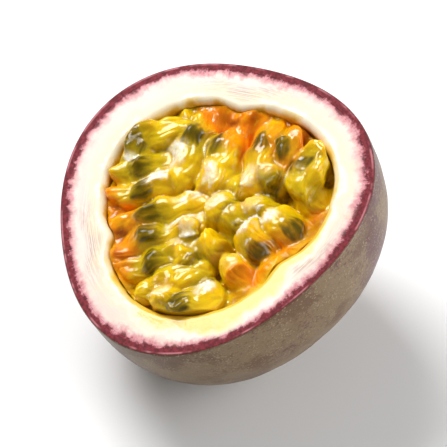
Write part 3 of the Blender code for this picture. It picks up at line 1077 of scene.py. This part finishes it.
def bare_skin_colour(shader, grain, specks, groups):
    """Purple skin, olive-tan on one side, with pale specks."""
    place = shader.place()
    clouds = shader.noise(place, SKIN_CLOUDS, 4.0)
    patches = shader.noise(place, SKIN_PATCHES, 3.0)
    purple = shader.mix(shader.steps(clouds, 0.35, 0.65), SKIN_PURPLE, SKIN_BROWN)
    shade = shader.plus(grain, shader.steps(patches, 0.3, 0.7, -0.25, 0.25))
    olive = shader.mix(shader.steps(shade, 0.34, 0.66), SKIN_TAN, SKIN_OLIVE)
    tan = shader.steps(clouds, 0.3, 0.7, -0.35, 0.35)
    tan = shader.plus(shader.attribute("tan"), tan)
    tan = shader.plus(grain, shader.steps(tan, 0.0, 1.0, -0.22, 0.16))
    skin = shader.mix(shader.steps(tan, 0.40, 0.64), purple, olive)
    reach = shader.steps(groups, 0.35, 0.7, -0.08, 0.16)
    speck = shader.steps(shader.minus(specks, reach), 0.30, 0.12, 0.0, 0.6)
    return shader.mix(speck, skin, SKIN_SPECK)


def skin_material():
    shader = Shader("skin_finish", Specular_IOR_Level=0.3)
    place = shader.place()
    grain = shader.noise(place, SKIN_GRAIN, 4.0, 0.7)
    specks = shader.cells(place, SKIN_SPECKS)
    groups = shader.noise(place, SKIN_SPECK_GROUPS, 2.0)
    skin = bare_skin_colour(shader, grain, specks, groups)
    scar = shader.steps(groups, 0.3, 0.7, -0.5, 0.5)
    scar = shader.plus(shader.attribute("scar"), scar)
    skin = shader.mix(shader.steps(scar, 3.4, 2.0, 0.0, 0.6), skin, SCAR_RING)
    cork = shader.steps(scar, 1.7, 1.2)
    skin = shader.mix(cork, skin, SCAR_BROWN)
    on_cut = shader.steps(shader.attribute("inset"), 0.04, 0.2)
    colour = shader.mix(on_cut, skin, rim_colour(shader))
    rough = shader.steps(grain, 0.3, 0.8, 0.34, 0.48)
    rough = shader.plus(rough, shader.times(shader.plus(on_cut, cork), 0.35))
    pores = shader.bump(grain, SKIN_PORE_DEPTH, 0.5)
    dimples = shader.bump(specks, SKIN_SPECK_DEPTH, 0.3, pores)
    return shader.finish(Base_Color=colour, Roughness=rough, Normal=dimples)


def pith_strands(shader):
    """1 on the fibres that run over the rind to a placenta."""
    past = shader.attribute("past_lip")
    placenta = shader.attribute("placenta")
    fibres = shader.node("ShaderNodeCombineXYZ", {
        "X": shader.times(shader.attribute("inset"), 1.6),
        "Y": shader.times(placenta, 1.2),
        "Z": shader.times(shader.attribute("film"), 1.2),
    })
    strands = shader.steps(shader.noise(fibres, PITH_STRANDS, 4.0, 0.7), 0.44, 0.56)
    begin = shader.steps(past, -4.2, -2.6)
    near_lip = shader.times(begin, shader.steps(past, 0.2, -0.8))
    return shader.times(near_lip, shader.times(placenta, strands))


def pith_material():
    shader = Shader("pith_finish", Subsurface_Scale=PITH_SCATTER, Specular_IOR_Level=0.4)
    shader.principled.inputs["Subsurface Radius"].default_value = PITH_SCATTER_COLOUR
    shader.principled.inputs["Subsurface Weight"].default_value = 0.35
    place = shader.place()
    inset = shader.attribute("inset")
    film = shader.attribute("film")
    clouds = shader.steps(shader.noise(place, PITH_CLOUDS, 4.0), 0.3, 0.7, -0.9, 0.9)
    near_lip = shader.plus(shader.attribute("past_lip"), clouds)
    blush = shader.steps(shader.noise(place, PITH_BLUSHES, 3.0), 0.40, 0.66, 0.0, 0.8)
    blush = shader.times(blush, shader.steps(inset, 5.6, 3.0))
    blush = shader.times(blush, shader.steps(inset, 1.8, 2.8))
    colour = shader.mix(blush, rim_colour(shader), PITH_BLUSH)
    strands = shader.times(pith_strands(shader), 0.85)
    colour = shader.mix(strands, colour, PITH_STRAND)
    cream = shader.steps(near_lip, -3.6, -0.4, 0.0, 0.55)
    cream = shader.plus(cream, shader.times(film, 0.3))
    cream = shader.times(cream, shader.steps(near_lip, -4.4, -2.6))
    colour = shader.mix(cream, colour, PITH_CREAM)
    wet_lip = shader.plus(near_lip, shader.times(film, 4.2))
    colour = shader.mix(shader.steps(wet_lip, 0.2, 2.6, 0.0, 0.95), colour, JUICE_YELLOW)
    # olive below the lip, stronger deeper down the wall: partly juice, partly painted shade
    colour = shader.mix(shader.steps(near_lip, 0.9, 2.8, 0.0, 0.9), colour, WALL_JUICE_AND_SHADE)
    rough = shader.steps(wet_lip, -0.8, 1.0, 0.62, 0.16)
    spongy = shader.bump(shader.noise(place, PITH_SPONGE, 4.0, 0.6), PITH_SPONGE_DEPTH, 0.5)
    return shader.finish(Base_Color=colour, Roughness=rough, Normal=spongy)


def pulp_material():
    shader = Shader(
        "pulp_finish",
        Subsurface_Scale=PULP_SCATTER,
        IOR=1.36,
        Specular_IOR_Level=0.05,
        Coat_Roughness=0.12,
        Coat_IOR=1.46,
    )
    shader.principled.inputs["Subsurface Radius"].default_value = PULP_SCATTER_COLOUR
    place = shader.place()
    seed = shader.attribute("seed")
    streaks = shader.noise(shader.attribute("grain", "Vector"), PULP_STREAKS, 4.0, 0.6)
    pale = shader.steps(streaks, 0.52, 0.78, 0.0, 0.45)
    pale = shader.times(pale, shader.minus(1.0, seed))
    colour = shader.mix(pale, shader.attribute("tone", "Color"), STREAK_PALE)
    colour = shader.mix(shader.steps(streaks, 0.46, 0.24, 0.0, 0.4), colour, STREAK_DEEP)
    mottle = shader.steps(shader.noise(place, PULP_MOTTLE, 4.0, 0.7), 0.34, 0.56, 0.5, 1.0)
    # The pale attribute is the painted highlight: cream-white patches, broken up by the mottle,
    # which also get deeper crinkles
    highlight_share = shader.times(shader.attribute("pale"), mottle)
    colour = shader.mix(shader.times(highlight_share, 0.95), colour, PAINTED_HIGHLIGHT)
    crinkly = shader.noise(place, PULP_CRINKLY_PATCHES, 2.0)
    crinkly = shader.plus(shader.steps(crinkly, 0.48, 0.62, 0.3, 1.0), highlight_share)
    crinkles = shader.times(shader.noise(place, PULP_CRINKLES, 4.0, 0.6), crinkly)
    bump = shader.bump(crinkles, PULP_CRINKLE_DEPTH, 0.7)
    return shader.finish(
        Base_Color=colour,
        Roughness=0.3,
        Subsurface_Weight=shader.steps(seed, 0.0, 1.0, 0.65, 0.05),
        Coat_Weight=shader.steps(shader.attribute("mass"), 0.0, 1.0, 1.0, 0.35),
        Normal=bump,
        Coat_Normal=bump,
    )


def floor_material():
    shader = Shader("floor_finish", Specular_IOR_Level=0.2)
    place = shader.place()
    colour = shader.mix(shader.noise(place, FLOOR_CLOUDS, 3.0), FLOOR_GREY, FLOOR_WHITE)
    grain = shader.bump(shader.noise(place, FLOOR_GRAIN, 2.0), FLOOR_GRAIN_DEPTH, 0.3)
    return shader.finish(Base_Color=colour, Roughness=0.6, Normal=grain)


# ---------------- stage

AZIMUTH = math.radians(60.3)
ELEVATION = math.radians(50.0)
CAMERA_DISTANCE = 0.55
CAMERA_HALF_WIDTH = 0.040  # of what it sees at the part
CAMERA_SHIFT = (1.7 * MM, 1.6 * MM)  # right and up, from the part's middle to the picture's
CAMERA_CLIP_START = 0.05
SENSOR_WIDTH = 36.0
FLOOR_SIZE = 3.0
WORLD_STRENGTH = 0.2

# Lights, each placed by its direction in the picture: left, up, and towards the viewer
Light = namedtuple("Light", "name left up towards distance size power")
LIGHTS = (
    Light("key", 0.45, 1.0, 0.35, 0.45, 0.25, 2.6),
    Light("fill", -1.0, -0.1, 0.6, 0.5, 0.45, 1.0),
    Light("side", -0.94, 0.22, 0.26, 0.6, 0.5, 2.4),
)


def view_axes():
    """Unit vectors towards the camera, to its right and up in its picture."""
    back = Vector((
        math.sin(AZIMUTH) * math.cos(ELEVATION),
        -math.cos(AZIMUTH) * math.cos(ELEVATION),
        math.sin(ELEVATION),
    ))
    right = Vector((math.cos(AZIMUTH), math.sin(AZIMUTH), 0))
    return back, right, back.cross(right)


def aim(target, point):
    """Turns a camera or light at target's place to face a point."""
    target.rotation_mode = "QUATERNION"
    target.rotation_quaternion = (point - target.location).to_track_quat("-Z", "Y")


def make_camera(centre):
    camera = bpy.data.cameras.new("camera")
    holder = add_object("camera", camera)
    back, right, up = view_axes()
    target = centre + right * CAMERA_SHIFT[0] + up * CAMERA_SHIFT[1]
    holder.location = target + back * CAMERA_DISTANCE
    aim(holder, target)
    camera.sensor_width = SENSOR_WIDTH
    camera.lens = 0.5 * SENSOR_WIDTH * CAMERA_DISTANCE / CAMERA_HALF_WIDTH
    camera.clip_start = CAMERA_CLIP_START
    bpy.context.scene.camera = holder


def make_light(light, centre):
    """A soft square light that faces the part."""
    back, right, up = view_axes()
    direction = (up * light.up - right * light.left + back * light.towards).normalized()
    lamp = bpy.data.lights.new(light.name, "AREA")
    lamp.size = light.size
    lamp.energy = light.power
    holder = add_object(light.name, lamp)
    holder.location = centre + direction * light.distance
    aim(holder, centre)


def make_floor():
    half = FLOOR_SIZE / 2
    corners = [(-half, -half, 0), (half, -half, 0), (half, half, 0), (-half, half, 0)]
    mesh = bpy.data.meshes.new("floor")
    mesh.from_pydata(corners, [], [(0, 1, 2, 3)])
    floor = add_object("floor", mesh)
    floor.data.materials.append(floor_material())


def make_world():
    world = bpy.data.worlds.new("studio")
    world.use_nodes = True
    background = world.node_tree.nodes["Background"]
    background.inputs["Color"].default_value = (1, 1, 1, 1)
    background.inputs["Strength"].default_value = WORLD_STRENGTH
    bpy.context.scene.world = world
    bpy.context.scene.view_settings.view_transform = "Standard"


def make_stage():
    low, high = CAD_BOX
    centre = (low + high) / 2
    make_floor()
    make_world()
    for light in LIGHTS:
        make_light(light, centre)
    make_camera(centre)


make_skin()
make_pith()
make_pulp()
make_stage()
